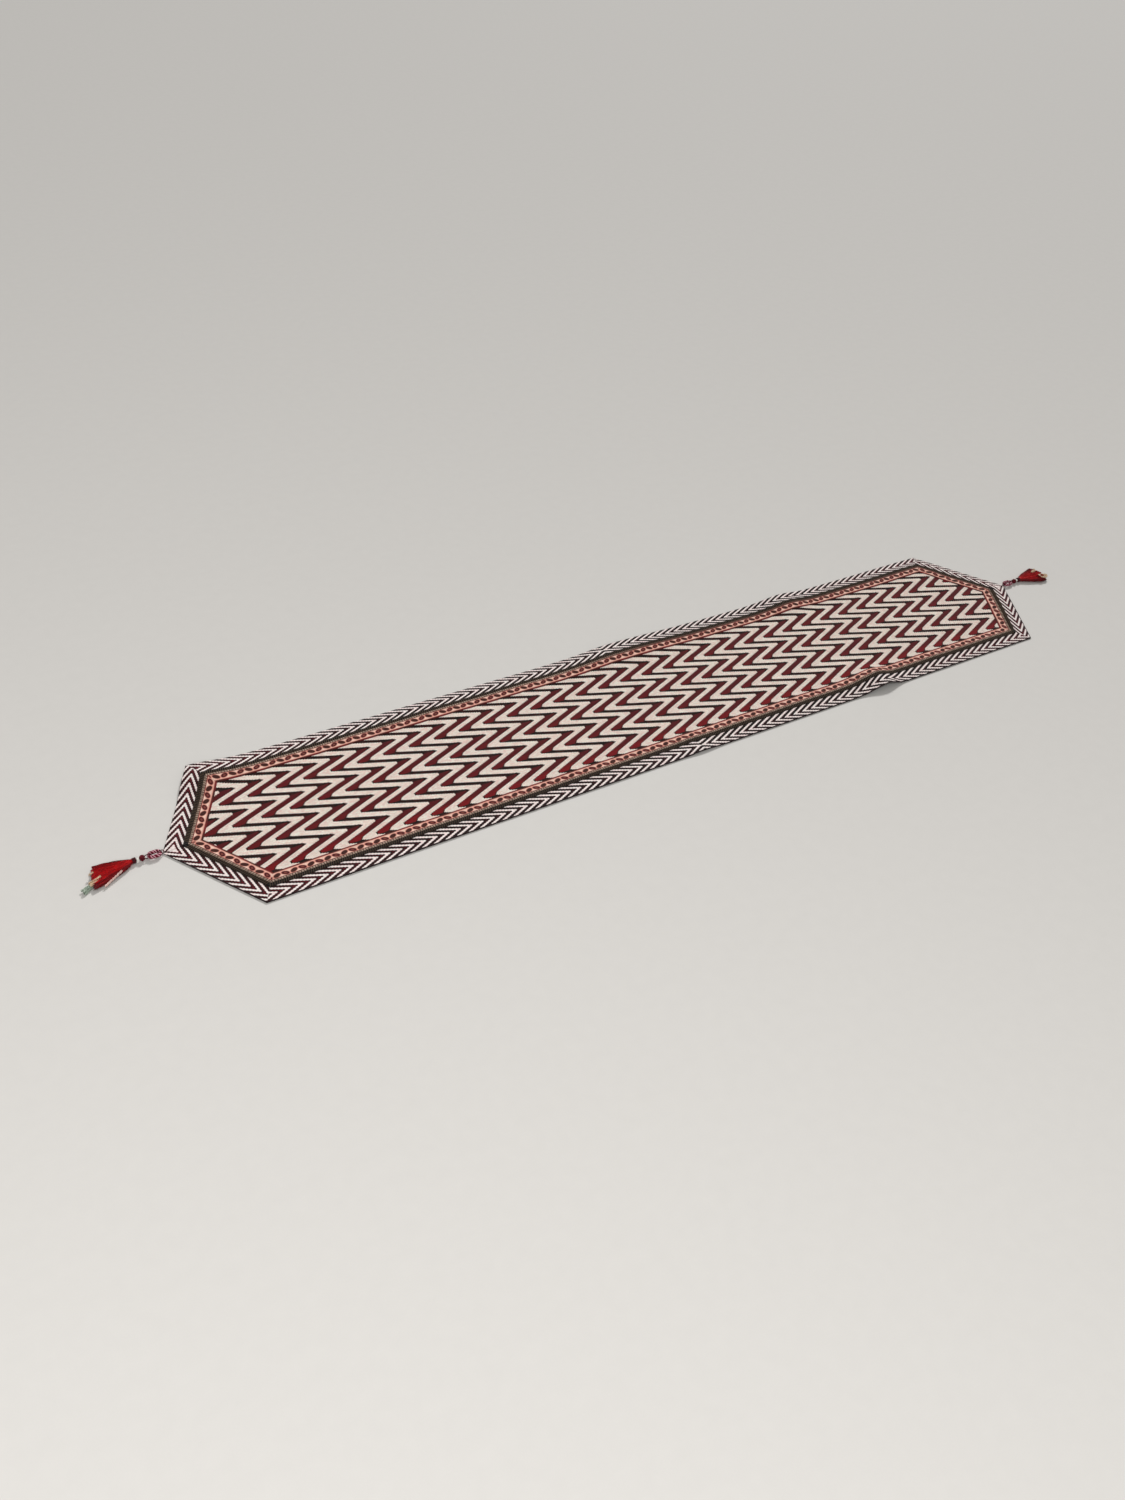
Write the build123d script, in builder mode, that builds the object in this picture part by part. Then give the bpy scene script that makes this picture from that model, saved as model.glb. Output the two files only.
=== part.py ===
from build123d import *
import os
from math import atan2, sin, tan

# Table runner: a long woven panel with pointed ends, framed by a motif ribbon, a gimp
# braid and a chevron tape, on a plain lining, with a tassel hung from each point.
# X runs along the runner, Y across it, Z up. The lining lies on the plane Z = 0.

# ---- Driving dimensions (millimetres) ----
runner_length = 1784.0         # point to point, without the tassels
runner_width = 340.0
point_length = 97.0            # how far each point reaches past the shoulders

lining_thickness = 0.6
lining_inset = 2.0             # the tape hides the lining's raw edge
panel_thickness = 1.4
tape_width = 27.0
tape_thickness = 1.4
gimp_width = 7.5
gimp_height = 2.2
gimp_bevel = 0.9
ribbon_width = 20.5
ribbon_thickness = 0.8
trim_gap = 0.2                 # between the ribbon's outer edge and the gimp

loop_cord_diameter = 5.2       # twisted cord of each hanging loop
loop_bend_radius = 5.0         # centre line of the loop's round ends
loop_straight = 7.3            # between the centres of the loop's two round ends
thread_diameter = 1.4          # sewn thread that holds a loop
thread_clearance = 0.3         # between that thread and the loop's cord
thread_reach = 2.0             # extra length of the thread ring at a runner's point
thread_bite = 0.15             # how far the other ring's centre line runs into the knot
loop_clearance = 0.4           # between the loop and the runner's point

knot_diameter = 9.2
knot_flat = 3.9                # from the knot's centre to each of its flat ends
knot_offset = 10.6             # from the tilt axis to the knot's centre
bead_diameter = 5.4
bead_length = 4.4
bead_round = 1.2
core_diameter = 1.6            # cord that strings the knot, the bead and the skirt
bore_clearance = 0.1
piece_gap = 0.3                # between pieces strung one after another
binding_length = 6.0
binding_diameter = 9.4
skirt_top_diameter = 7.2       # strands where the binding squeezes them
collar_diameter = 9.0          # strands just below the binding
skirt_length = 62.0            # from the binding to the cut ends
skirt_spread_at = 20.0         # from the binding to where the strands start to fan out
skirt_spread_width = 18.0
skirt_spread_height = 9.4
skirt_end_width = 52.0
skirt_end_height = 10.0
tuft_length = 20.0             # pale yarn that sticks out past the cut ends
tuft_width = 15.0
tuft_height = 8.0
tuft_offset = 9.0              # from the skirt's centre line
pale_strand_top = 2.0          # thickness of the pale strands where they leave the skirt
pale_strand_width = 7.0        # and at their cut ends
pale_strand_height = 5.0
pale_strand_gap = 0.6
floor_gap = 0.2                # under the tassel's widest round piece

# ---- Derived sizes ----
half_length = runner_length / 2
half_width = runner_width / 2
shoulder_x = half_length - point_length
point_angle = atan2(half_width, point_length)
cloth_top = lining_thickness + max(panel_thickness, tape_thickness)
seam_inset = tape_width + gimp_width / 2
gimp_inner_inset = tape_width + gimp_width
ribbon_outer_inset = gimp_inner_inset + trim_gap
ribbon_inner_inset = ribbon_outer_inset + ribbon_width

cord_radius = loop_cord_diameter / 2
thread_radius = thread_diameter / 2
thread_bend_radius = cord_radius + thread_clearance + thread_radius
round_reach = max(thread_bend_radius + thread_radius, knot_diameter / 2, binding_diameter / 2)
axis_z = round_reach + floor_gap
swing_x = half_length + loop_clearance + cord_radius + loop_bend_radius
loop_near_x = swing_x - loop_bend_radius
tilt_x = swing_x + loop_straight + loop_bend_radius
knot_x = tilt_x + knot_offset
shank_reach = knot_offset - knot_flat - thread_bend_radius + thread_bite
bead_x = knot_x + knot_flat + piece_gap
binding_x = bead_x + bead_length + piece_gap
skirt_x = binding_x + binding_length
spread_x = skirt_x + skirt_spread_at
skirt_end_x = skirt_x + skirt_length
pale_top_y = skirt_spread_width / 2 + pale_strand_gap + pale_strand_top / 2
pale_end_y = skirt_end_width / 2 + pale_strand_gap + pale_strand_width / 2


def tip_point(inset):
    """Where the outline, moved inwards by inset, crosses the long axis."""
    return half_length - inset / sin(point_angle), 0.0


def shoulder_point(inset):
    """The right back corner of the outline moved inwards by inset."""
    return shoulder_x - inset * tan(point_angle / 2), half_width - inset


def flip(points, x_sign, y_sign):
    return [(x_sign * x, y_sign * y) for x, y in points]


def outline(inset):
    """The whole six-sided outline moved inwards by inset."""
    right = [tip_point(inset), shoulder_point(inset)]
    left = flip(right[::-1], -1, 1)
    front = flip([left[0], right[1]], 1, -1)
    return right + left + front


def long_strip(outer, inner, y_sign):
    """A mitred strip along one long side, between two insets of the outline."""
    ends = [shoulder_point(outer), shoulder_point(inner)]
    return flip(ends + flip(ends[::-1], -1, 1), 1, y_sign)


def point_strip(outer, inner, x_sign, y_sign):
    """A mitred strip along one slanted side, between two insets of the outline."""
    strip = [tip_point(outer), shoulder_point(outer), shoulder_point(inner), tip_point(inner)]
    return flip(strip, x_sign, y_sign)


def quarter_strip(outer, inner, x_sign, y_sign):
    """A strip from the middle of a long side, round the shoulder, to the point."""
    strip = [
        (0.0, half_width - outer), shoulder_point(outer), tip_point(outer),
        tip_point(inner), shoulder_point(inner), (0.0, half_width - inner),
    ]
    return flip(strip, x_sign, y_sign)


def facing_out(x_sign, x):
    """A plane across a tassel at x, with local Y up and local X along x_sign times Y."""
    return Plane(origin=(x_sign * x, 0, axis_z), x_dir=(0, x_sign, 0), z_dir=(x_sign, 0, 0))


def thread_path(x_sign, near_x, reach):
    """A closed upright path round a cord at near_x, longer by reach than the cord is wide."""
    far_x = near_x + reach
    top_z = axis_z + thread_bend_radius
    bottom_z = axis_z - thread_bend_radius
    near_top, near_bottom = (x_sign * near_x, top_z), (x_sign * near_x, bottom_z)
    far_top, far_bottom = (x_sign * far_x, top_z), (x_sign * far_x, bottom_z)
    Line(near_top, far_top)
    ThreePointArc(far_top, (x_sign * (far_x + thread_bend_radius), axis_z), far_bottom)
    Line(far_bottom, near_bottom)
    ThreePointArc(near_bottom, (x_sign * (near_x - thread_bend_radius), axis_z), near_top)


def mitred_strips(outer, inner):
    """The six strips of a frame that is cut and mitred at every corner."""
    return {
        "back": long_strip(outer, inner, 1),
        "front": long_strip(outer, inner, -1),
        "left_back": point_strip(outer, inner, -1, 1),
        "left_front": point_strip(outer, inner, -1, -1),
        "right_back": point_strip(outer, inner, 1, 1),
        "right_front": point_strip(outer, inner, 1, -1),
    }


os.makedirs("parts", exist_ok=True)

# ---- Lining ----
with BuildPart() as lining:
    with BuildSketch():
        Polygon(*outline(lining_inset), align=None)
    extrude(amount=lining_thickness)
lining.part.label = "lining"
export_step(lining.part, "parts/lining.step")

# ---- Centre panel ----
# Its raw edge butts against the tape's, and the gimp covers the line between them.
with BuildPart() as centre_panel:
    with BuildSketch(Plane.XY.offset(lining_thickness)):
        Polygon(*outline(seam_inset), align=None)
    extrude(amount=panel_thickness)
centre_panel.part.label = "centre_panel"
export_step(centre_panel.part, "parts/centre_panel.step")

# ---- Chevron tape: four lengths, each folded once at a shoulder ----
for end, x_sign in (("left", -1), ("right", 1)):
    for side, y_sign in (("back", 1), ("front", -1)):
        with BuildPart() as tape:
            with BuildSketch(Plane.XY.offset(lining_thickness)):
                Polygon(*quarter_strip(0.0, seam_inset, x_sign, y_sign), align=None)
            extrude(amount=tape_thickness)
        tape.part.label = f"tape_{end}_{side}"
        export_step(tape.part, f"parts/tape_{end}_{side}.step")

# ---- Motif ribbon: six mitred lengths on the panel's edge ----
ribbon_strips = mitred_strips(ribbon_outer_inset, ribbon_inner_inset)
for side, points in ribbon_strips.items():
    with BuildPart() as ribbon:
        with BuildSketch(Plane.XY.offset(lining_thickness + panel_thickness)):
            Polygon(*points, align=None)
        extrude(amount=ribbon_thickness)
    ribbon.part.label = f"ribbon_{side}"
    export_step(ribbon.part, f"parts/ribbon_{side}.step")

# ---- Gimp braid: six mitred lengths over the line between panel and tape ----
gimp_strips = mitred_strips(tape_width, gimp_inner_inset)
for side, points in gimp_strips.items():
    with BuildPart() as gimp:
        with BuildSketch(Plane.XY.offset(cloth_top)):
            Polygon(*points, align=None)
        extrude(amount=gimp_height)
        top_edges = gimp.faces().sort_by(Axis.Z)[-1].edges()
        chamfer(top_edges.sort_by(SortBy.LENGTH)[-2:], length=gimp_bevel)
    gimp.part.label = f"gimp_{side}"
    export_step(gimp.part, f"parts/gimp_{side}.step")

# ---- Tassels: the same pieces at both points ----
for end, x_sign in (("left", -1), ("right", 1)):
    # The loop is a closed ring of twisted cord that lies flat.
    near_back = (x_sign * swing_x, loop_bend_radius)
    near_front = (x_sign * swing_x, -loop_bend_radius)
    far_back = (x_sign * (swing_x + loop_straight), loop_bend_radius)
    far_front = (x_sign * (swing_x + loop_straight), -loop_bend_radius)
    with BuildPart() as loop:
        with BuildLine(Plane.XY.offset(axis_z)) as loop_path:
            Line(near_back, far_back)
            ThreePointArc(far_back, (x_sign * tilt_x, 0), far_front)
            Line(far_front, near_front)
            ThreePointArc(near_front, (x_sign * loop_near_x, 0), near_back)
        with BuildSketch(Plane(origin=(*near_back, axis_z), z_dir=(x_sign, 0, 0))):
            Circle(cord_radius)
        sweep(path=loop_path.wires()[0])
    loop.part.label = f"{end}_loop"
    export_step(loop.part, f"parts/{end}_loop.step")

    # A ring of thread, sewn through the tape at the point, holds the loop.
    tack_x = loop_near_x - thread_reach
    with BuildPart() as tack:
        with BuildLine(Plane.XZ) as tack_path:
            thread_path(x_sign, tack_x, thread_reach)
        tack_start = (x_sign * tack_x, 0, axis_z + thread_bend_radius)
        with BuildSketch(Plane(origin=tack_start, z_dir=(x_sign, 0, 0))):
            Circle(thread_radius)
        sweep(path=tack_path.wires()[0])
        with BuildSketch():
            Polygon(*outline(0.0), align=None)
        extrude(amount=lining_thickness + tape_thickness, mode=Mode.SUBTRACT)
    tack.part.label = f"{end}_tack_thread"
    export_step(tack.part, f"parts/{end}_tack_thread.step")

    # The knot is a ball with two flat ends: one for its thread, one for the core cord.
    with BuildPart() as knot:
        with Locations((x_sign * knot_x, 0, axis_z)):
            Sphere(knot_diameter / 2, rotation=(0, 0, 90))
        with BuildSketch(facing_out(x_sign, knot_x - knot_flat)):
            Circle(knot_diameter)
        extrude(amount=2 * knot_flat, mode=Mode.INTERSECT)
    knot.part.label = f"{end}_knot"
    export_step(knot.part, f"parts/{end}_knot.step")

    # A second ring of thread hangs the knot from the loop's far end.
    with BuildPart() as shank:
        with BuildLine(Plane.XZ) as shank_path:
            thread_path(x_sign, tilt_x, shank_reach)
        shank_start = (x_sign * tilt_x, 0, axis_z + thread_bend_radius)
        with BuildSketch(Plane(origin=shank_start, z_dir=(x_sign, 0, 0))):
            Circle(thread_radius)
        sweep(path=shank_path.wires()[0])
        with BuildSketch(facing_out(x_sign, knot_x - knot_flat)):
            Circle(knot_diameter)
        extrude(amount=knot_diameter, mode=Mode.SUBTRACT)
    shank.part.label = f"{end}_shank_thread"
    export_step(shank.part, f"parts/{end}_shank_thread.step")

    with BuildPart() as core:
        with BuildSketch(facing_out(x_sign, knot_x + knot_flat)):
            Circle(core_diameter / 2)
        extrude(amount=binding_x - knot_x - knot_flat)
    core.part.label = f"{end}_core_cord"
    export_step(core.part, f"parts/{end}_core_cord.step")

    with BuildPart() as bead:
        with BuildSketch(facing_out(x_sign, bead_x)):
            Circle(bead_diameter / 2)
        extrude(amount=bead_length)
        fillet(bead.edges().filter_by(GeomType.CIRCLE), radius=bead_round)
        with BuildSketch(facing_out(x_sign, bead_x)):
            Circle(core_diameter / 2 + bore_clearance)
        extrude(amount=bead_length, mode=Mode.SUBTRACT)
    bead.part.label = f"{end}_bead"
    export_step(bead.part, f"parts/{end}_bead.step")

    with BuildPart() as binding:
        with BuildSketch(facing_out(x_sign, binding_x)):
            Circle(binding_diameter / 2)
            Circle(skirt_top_diameter / 2 + bore_clearance, mode=Mode.SUBTRACT)
        extrude(amount=binding_length)
    binding.part.label = f"{end}_neck_binding"
    export_step(binding.part, f"parts/{end}_neck_binding.step")

    # The skirt of red strands: squeezed in the binding, then fanned out flat.
    with BuildPart() as skirt:
        with BuildSketch(facing_out(x_sign, skirt_x)):
            Circle(collar_diameter / 2)
        with BuildSketch(facing_out(x_sign, spread_x)):
            with Locations((0, skirt_spread_height / 2 - axis_z)):
                Ellipse(skirt_spread_width / 2, skirt_spread_height / 2)
        with BuildSketch(facing_out(x_sign, skirt_end_x)):
            with Locations((0, skirt_end_height / 2 - axis_z)):
                Ellipse(skirt_end_width / 2, skirt_end_height / 2)
        loft(ruled=True)
        with BuildSketch(facing_out(x_sign, binding_x)):
            Circle(skirt_top_diameter / 2)
        extrude(amount=binding_length)
    skirt.part.label = f"{end}_skirt"
    export_step(skirt.part, f"parts/{end}_skirt.step")

    # A lock of pale strands along the skirt's front edge.
    with BuildPart() as pale_strands:
        with BuildSketch(facing_out(x_sign, spread_x)):
            with Locations((-x_sign * pale_top_y, pale_strand_height / 2 - axis_z)):
                Circle(pale_strand_top / 2)
        with BuildSketch(facing_out(x_sign, skirt_end_x)):
            with Locations((-x_sign * pale_end_y, pale_strand_height / 2 - axis_z)):
                Ellipse(pale_strand_width / 2, pale_strand_height / 2)
        loft(ruled=True)
    pale_strands.part.label = f"{end}_pale_strands"
    export_step(pale_strands.part, f"parts/{end}_pale_strands.step")

    # The pale yarn that was tied in with the strands and sticks out past them.
    with BuildPart() as tuft:
        with BuildSketch(facing_out(x_sign, skirt_end_x)):
            with Locations((-x_sign * tuft_offset, tuft_height / 2 - axis_z)):
                Ellipse(tuft_width / 2, tuft_height / 2)
        extrude(amount=tuft_length)
    tuft.part.label = f"{end}_yarn_tuft"
    export_step(tuft.part, f"parts/{end}_yarn_tuft.step")
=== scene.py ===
# %% [markdown]
# # A woven table runner with pointed ends and red tassels
# The runner is flat layers sewn on each other: a plain lining, a zigzag panel, a chevron tape round the edge,
# a patterned ribbon, and a black braid that covers the seam between tape and ribbon. A tassel hangs from
# a twisted loop at each point. The measured model is loaded first as a fixed frame, and every piece below
# is worked out to lie in the same place.

import bpy
import numpy as np
from mathutils import Matrix, Vector


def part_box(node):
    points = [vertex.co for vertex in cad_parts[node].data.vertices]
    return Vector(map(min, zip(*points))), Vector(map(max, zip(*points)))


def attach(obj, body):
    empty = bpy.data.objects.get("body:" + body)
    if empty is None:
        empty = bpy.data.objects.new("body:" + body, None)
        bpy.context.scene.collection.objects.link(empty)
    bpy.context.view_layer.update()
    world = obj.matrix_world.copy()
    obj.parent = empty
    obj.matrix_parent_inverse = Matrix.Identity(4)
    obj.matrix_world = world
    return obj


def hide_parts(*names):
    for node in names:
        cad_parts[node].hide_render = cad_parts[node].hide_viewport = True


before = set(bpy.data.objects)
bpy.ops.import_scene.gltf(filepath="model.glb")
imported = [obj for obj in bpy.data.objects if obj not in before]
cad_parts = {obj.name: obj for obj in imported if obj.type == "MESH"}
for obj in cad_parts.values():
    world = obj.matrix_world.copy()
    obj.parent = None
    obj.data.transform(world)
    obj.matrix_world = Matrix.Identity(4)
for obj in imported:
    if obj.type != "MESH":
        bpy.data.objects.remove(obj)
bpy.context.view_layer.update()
upright = [0, 0, 1.0]

# %% [markdown]
# ## Camera, floor and light
# The camera looks down at the runner from its front left side, about 38 degrees above the table, and is
# turned a little about its own line of sight. Three arrows at right angles give that turn exactly.
# A low sun behind the runner, a soft lamp at the front left and a pale room around them leave a narrow
# shadow along the near edge, and let the light fall off a little towards the right.

# %% Camera
camera = bpy.data.objects.new("table_camera", bpy.data.cameras.new("table_camera"))
bpy.context.scene.collection.objects.link(camera)
camera.data.lens = 33.13
camera.data.sensor_width = 36.0
camera.data.clip_start = 0.01
to_right, upwards = Vector((0.85026, -0.52208, 0.06701)), Vector((0.27833, 0.55399, 0.78462))
turn = Matrix((to_right, upwards, to_right.cross(upwards))).transposed().to_4x4()
camera.matrix_world = Matrix.Translation((-1.2641, -1.5721, 1.4413)) @ turn
bpy.context.scene.camera = camera
bpy.context.scene.view_settings.view_transform = "Standard"
print("camera height", round(camera.location.z, 3))


# %% Node helpers
class Flow:
    """A value inside a shader: one node's output. Arithmetic on it adds a Math node, so that a formula
    can be written as it is read."""

    def __init__(self, socket):
        self.socket = socket

    def __add__(self, other):
        return calc("ADD", self, other)

    def __sub__(self, other):
        return calc("SUBTRACT", self, other)

    def __rsub__(self, other):
        return calc("SUBTRACT", other, self)

    def __mul__(self, other):
        return calc("MULTIPLY", self, other)

    def __truediv__(self, other):
        return calc("DIVIDE", self, other)

    __radd__, __rmul__ = __add__, __mul__


def feed(socket, value):
    """Sets an input: a Flow is linked to it, and a number or a colour is written on it."""
    if isinstance(value, Flow):
        value.socket.id_data.links.new(value.socket, socket)
    else:
        socket.default_value = value


def calc(operation, *values, clamp=False):
    """A Math node in the tree of the first Flow among its values."""
    tree = next(value for value in values if isinstance(value, Flow)).socket.id_data
    node = tree.nodes.new("ShaderNodeMath")
    node.operation, node.use_clamp = operation, clamp
    for socket, value in zip(node.inputs, values):
        feed(socket, value)
    return Flow(node.outputs[0])


def rises(value, limit, soft):
    """A mask that goes from 0 to 1 as value passes limit: (value - limit) / soft + 1/2, kept in 0..1."""
    return calc("MULTIPLY_ADD", value - limit, 1 / soft, 0.5, clamp=True)


def within(value, low, high, soft):
    """A mask that is 1 while value is between low and high: one rise times the opposite of another."""
    return rises(value, low, soft) * (1 - rises(value, high, soft))


def mixed(mask, first, second):
    """A colour that is first where mask is 0 and second where it is 1."""
    node = mask.socket.id_data.nodes.new("ShaderNodeMix")
    node.data_type = "RGBA"
    for socket, value in ((node.inputs[0], mask), (node.inputs[6], first), (node.inputs[7], second)):
        feed(socket, value)
    return Flow(node.outputs[2])


def scaled(colour, light):
    """A colour times a number, light."""
    node = light.socket.id_data.nodes.new("ShaderNodeVectorMath")
    node.operation = "SCALE"
    feed(node.inputs[0], colour if isinstance(colour, Flow) else colour[:3])
    feed(node.inputs["Scale"], light)
    return Flow(node.outputs[0])


def chance(number):
    """A value from 0 to 1 that is drawn by lot for each whole number."""
    node = number.socket.id_data.nodes.new("ShaderNodeTexWhiteNoise")
    node.noise_dimensions = "1D"
    feed(node.inputs["W"], number)
    return Flow(node.outputs["Value"])


def dye(red, green, blue):
    """A dye named by its red, green and blue on a 0 to 255 scale, turned into the linear values a shader
    uses: ((c + 0.055) / 1.055) to the power 2.4."""
    share = (np.array([red, green, blue]) / 255 + 0.055) / 1.055
    return (*np.power(share, 2.4).tolist(), 1.0)


def new_group(name, inputs, outputs):
    """An empty shader node group. The sockets are given as their name and kind, Float or Color."""
    tree = bpy.data.node_groups.new(name, "ShaderNodeTree")
    for direction, sockets in (("INPUT", inputs), ("OUTPUT", outputs)):
        for socket_name, kind in sockets.items():
            tree.interface.new_socket(socket_name, in_out=direction, socket_type="NodeSocket" + kind)
    given = {socket.name: Flow(socket) for socket in tree.nodes.new("NodeGroupInput").outputs if socket.name}
    return tree, given, tree.nodes.new("NodeGroupOutput").inputs


def place_group(tree, group, **values):
    """Puts a group into a material, with numbers or Flows on its named inputs, and returns its outputs."""
    node = tree.nodes.new("ShaderNodeGroup")
    node.node_tree = group
    for socket_name, value in values.items():
        feed(node.inputs[socket_name], value)
    return {socket.name: Flow(socket) for socket in node.outputs}


# %% [markdown]
# ## What all the yarns share
# Every yarn here is spun wool or cotton, so its colour wanders a little and its surface has fuzz.
# That is one node group, used in each material. A second group draws the rounded stitches of woven and
# wrapped rows and the gap between neighbours, which gets painted shade, for every cloth, cord and thread.


# %% Fibre group
def fibre_group():
    """Colour is Dye times 1 + 2 (slow noise x Patch + fast noise x Wander). Fuzz adds the two finer ones."""
    tree, given, out = new_group("yarn_fibre", {"Dye": "Color", "Wander": "Float", "Patch": "Float"},
                                 {"Colour": "Color", "Fuzz": "Float"})
    place = tree.nodes.new("ShaderNodeTexCoord").outputs["Object"]
    noises = []
    for size, detail in ((45.0, 2.0), (420.0, 3.0), (2600.0, 2.0)):
        noise = tree.nodes.new("ShaderNodeTexNoise")
        noise.inputs["Scale"].default_value, noise.inputs["Detail"].default_value = size, detail
        tree.links.new(place, noise.inputs["Vector"])
        noises.append(Flow(noise.outputs["Fac"]) - 0.5)
    slow, fast, finest = noises
    light = 1 + 2 * (slow * given["Patch"] + (fast + 0.7 * finest) * given["Wander"])
    feed(out["Colour"], scaled(given["Dye"], light))
    feed(out["Fuzz"], fast + finest)
    return tree


yarn_fibre = fibre_group()
print("group", yarn_fibre.name, len(yarn_fibre.nodes), "nodes")


# %% Stitch group
def stitch_group():
    """Rows of rounded stitches. Across / Row gives the row, and Along / Stitch, shifted by Slant across the
    row and by Stagger stitches from row to row, gives the stitch. Height is 1 - (2a)^2 times 1 - (2b)^4, with
    a and b the distances from the row's and the stitch's middle. Gap is 1 in the furrows."""
    tree, given, out = new_group(
        "woven_stitches", dict.fromkeys(("Along", "Across", "Row", "Stitch", "Slant", "Stagger"), "Float"),
        dict.fromkeys(("Height", "Gap", "Stitch number"), "Float"))
    row = given["Across"] / given["Row"]
    row_number = calc("FLOOR", row)
    off_row = row - row_number - 0.5
    shifted = off_row * given["Row"] * given["Slant"] + given["Along"]
    stitch = row_number * given["Stagger"] + shifted / given["Stitch"]
    stitch_number = calc("FLOOR", stitch)
    off_stitch = stitch - stitch_number - 0.5
    height = ((1 - calc("POWER", 2 * calc("ABSOLUTE", off_row), 2.0))
              * (1 - calc("POWER", 2 * calc("ABSOLUTE", off_stitch), 4.0)))
    feed(out["Height"], height)
    feed(out["Gap"], 1 - calc("MULTIPLY", height, 3.2, clamp=True))
    feed(out["Stitch number"], calc("MULTIPLY_ADD", row_number, 7.13, stitch_number))
    return tree


woven_stitches = stitch_group()
print("group", woven_stitches.name, len(woven_stitches.nodes), "nodes")


# %% Material helpers
def cloth_material(name, draw, roughness=0.92, sheen=0.03, depth=0.0005, wander=0.22, patch=0.16):
    """A material whose colour and relief come from draw(tree): the colour goes through the fibre group, and
    the relief plus a little fuzz goes through a Bump node. Roughness and sheen are the same all over."""
    material = bpy.data.materials.new(name)
    material.use_nodes = True
    tree = material.node_tree
    shader = tree.nodes["Principled BSDF"]
    colour, relief = draw(tree)
    fibre = place_group(tree, yarn_fibre, Dye=colour, Wander=wander, Patch=patch)
    bump = tree.nodes.new("ShaderNodeBump")
    bump.inputs["Distance"].default_value = depth
    bump.inputs["Strength"].default_value = 1.0
    feed(bump.inputs["Height"], 0.35 * fibre["Fuzz"] + relief)
    feed(shader.inputs["Base Color"], fibre["Colour"])
    tree.links.new(bump.outputs["Normal"], shader.inputs["Normal"])
    shader.inputs["Roughness"].default_value = roughness
    shader.inputs["Sheen Weight"].default_value = sheen
    shader.inputs["Specular IOR Level"].default_value = 0.25
    return material


def uv_millimetres(tree):
    """The piece's own UV map, which holds metres along and across the cloth, as two Flows in millimetres."""
    source = tree.nodes.new("ShaderNodeUVMap")
    source.uv_map = "cloth"
    split = tree.nodes.new("ShaderNodeSeparateXYZ")
    tree.links.new(source.outputs[0], split.inputs[0])
    return Flow(split.outputs[0]) * 1000.0, Flow(split.outputs[1]) * 1000.0


def object_place(tree):
    """Where a spot is on the runner: its x and its y in metres."""
    split = tree.nodes.new("ShaderNodeSeparateXYZ")
    tree.links.new(tree.nodes.new("ShaderNodeTexCoord").outputs["Object"], split.inputs[0])
    return Flow(split.outputs["X"]), Flow(split.outputs["Y"])


def painted_furrow_shade(gap, colour, share):
    """The colour, darkened by share where gap is 1: painted shade in the furrows between stitches."""
    return scaled(colour, 1 - gap * share)


def thread_drawer(light, deep=None, row=1.6, stitch=1.4, slant=0.8, stagger=0.37, furrow=0.35):
    """Makes a drawing of slanted plies, each row millimetres wide and stitch millimetres long. With two dyes,
    each ply has its own mix of them. The furrows get painted shade, darker by the share furrow."""
    def draw(tree):
        along, across = uv_millimetres(tree)
        stitches = place_group(tree, woven_stitches, Along=along, Across=across, Row=row, Stitch=stitch,
                               Slant=slant, Stagger=stagger)
        colour = mixed(chance(stitches["Stitch number"]), light, deep) if deep else light
        return painted_furrow_shade(stitches["Gap"], colour, furrow), stitches["Height"]
    return draw


# %% [markdown]
# ## Making meshes from arrays
# A piece is a grid of points: rows of points carried along the piece, joined by four-sided faces. All the
# points are worked out at once as arrays, and one function turns such arrays into a mesh with a UV map in
# metres.


# %% Mesh helpers
def grid_corners(rows, columns, wrap_rows=False, wrap_columns=False):
    """For each face of a grid, the row and the column of its four corners, counted on past the wrap."""
    i, j = np.meshgrid(np.arange(rows - (not wrap_rows)), np.arange(columns - (not wrap_columns)),
                       indexing="ij")
    i, j = i.ravel(), j.ravel()
    return np.stack([i, i + 1, i + 1, i], 1), np.stack([j, j, j + 1, j + 1], 1)


def strip_faces(stations, around):
    """A closed section of around points carried through the stations: the row and column of each side face's
    corners, and the blocks of faces, which are the sides and a flat face at each end."""
    i, j = grid_corners(stations, around, wrap_columns=True)
    end = np.arange(around)[None]
    return i, j % around, [i * around + j % around, end[:, ::-1], (stations - 1) * around + end]


def no_end_uvs(around):
    """UVs for the two end faces of a strip, which nobody sees: all zero."""
    return np.zeros((2, 1, around, 2))


def signed_volume(points, blocks):
    """The volume inside faces: for each triangle of each face, a . (b x c) / 6, added up. It is negative
    inside out."""
    total = 0.0
    for block in blocks:
        for k in range(1, block.shape[1] - 1):
            a, b, c = points[block[:, 0]], points[block[:, k]], points[block[:, k + 1]]
            total += np.einsum("ij,ij->i", a, np.cross(b, c)).sum() / 6
    return total


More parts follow.
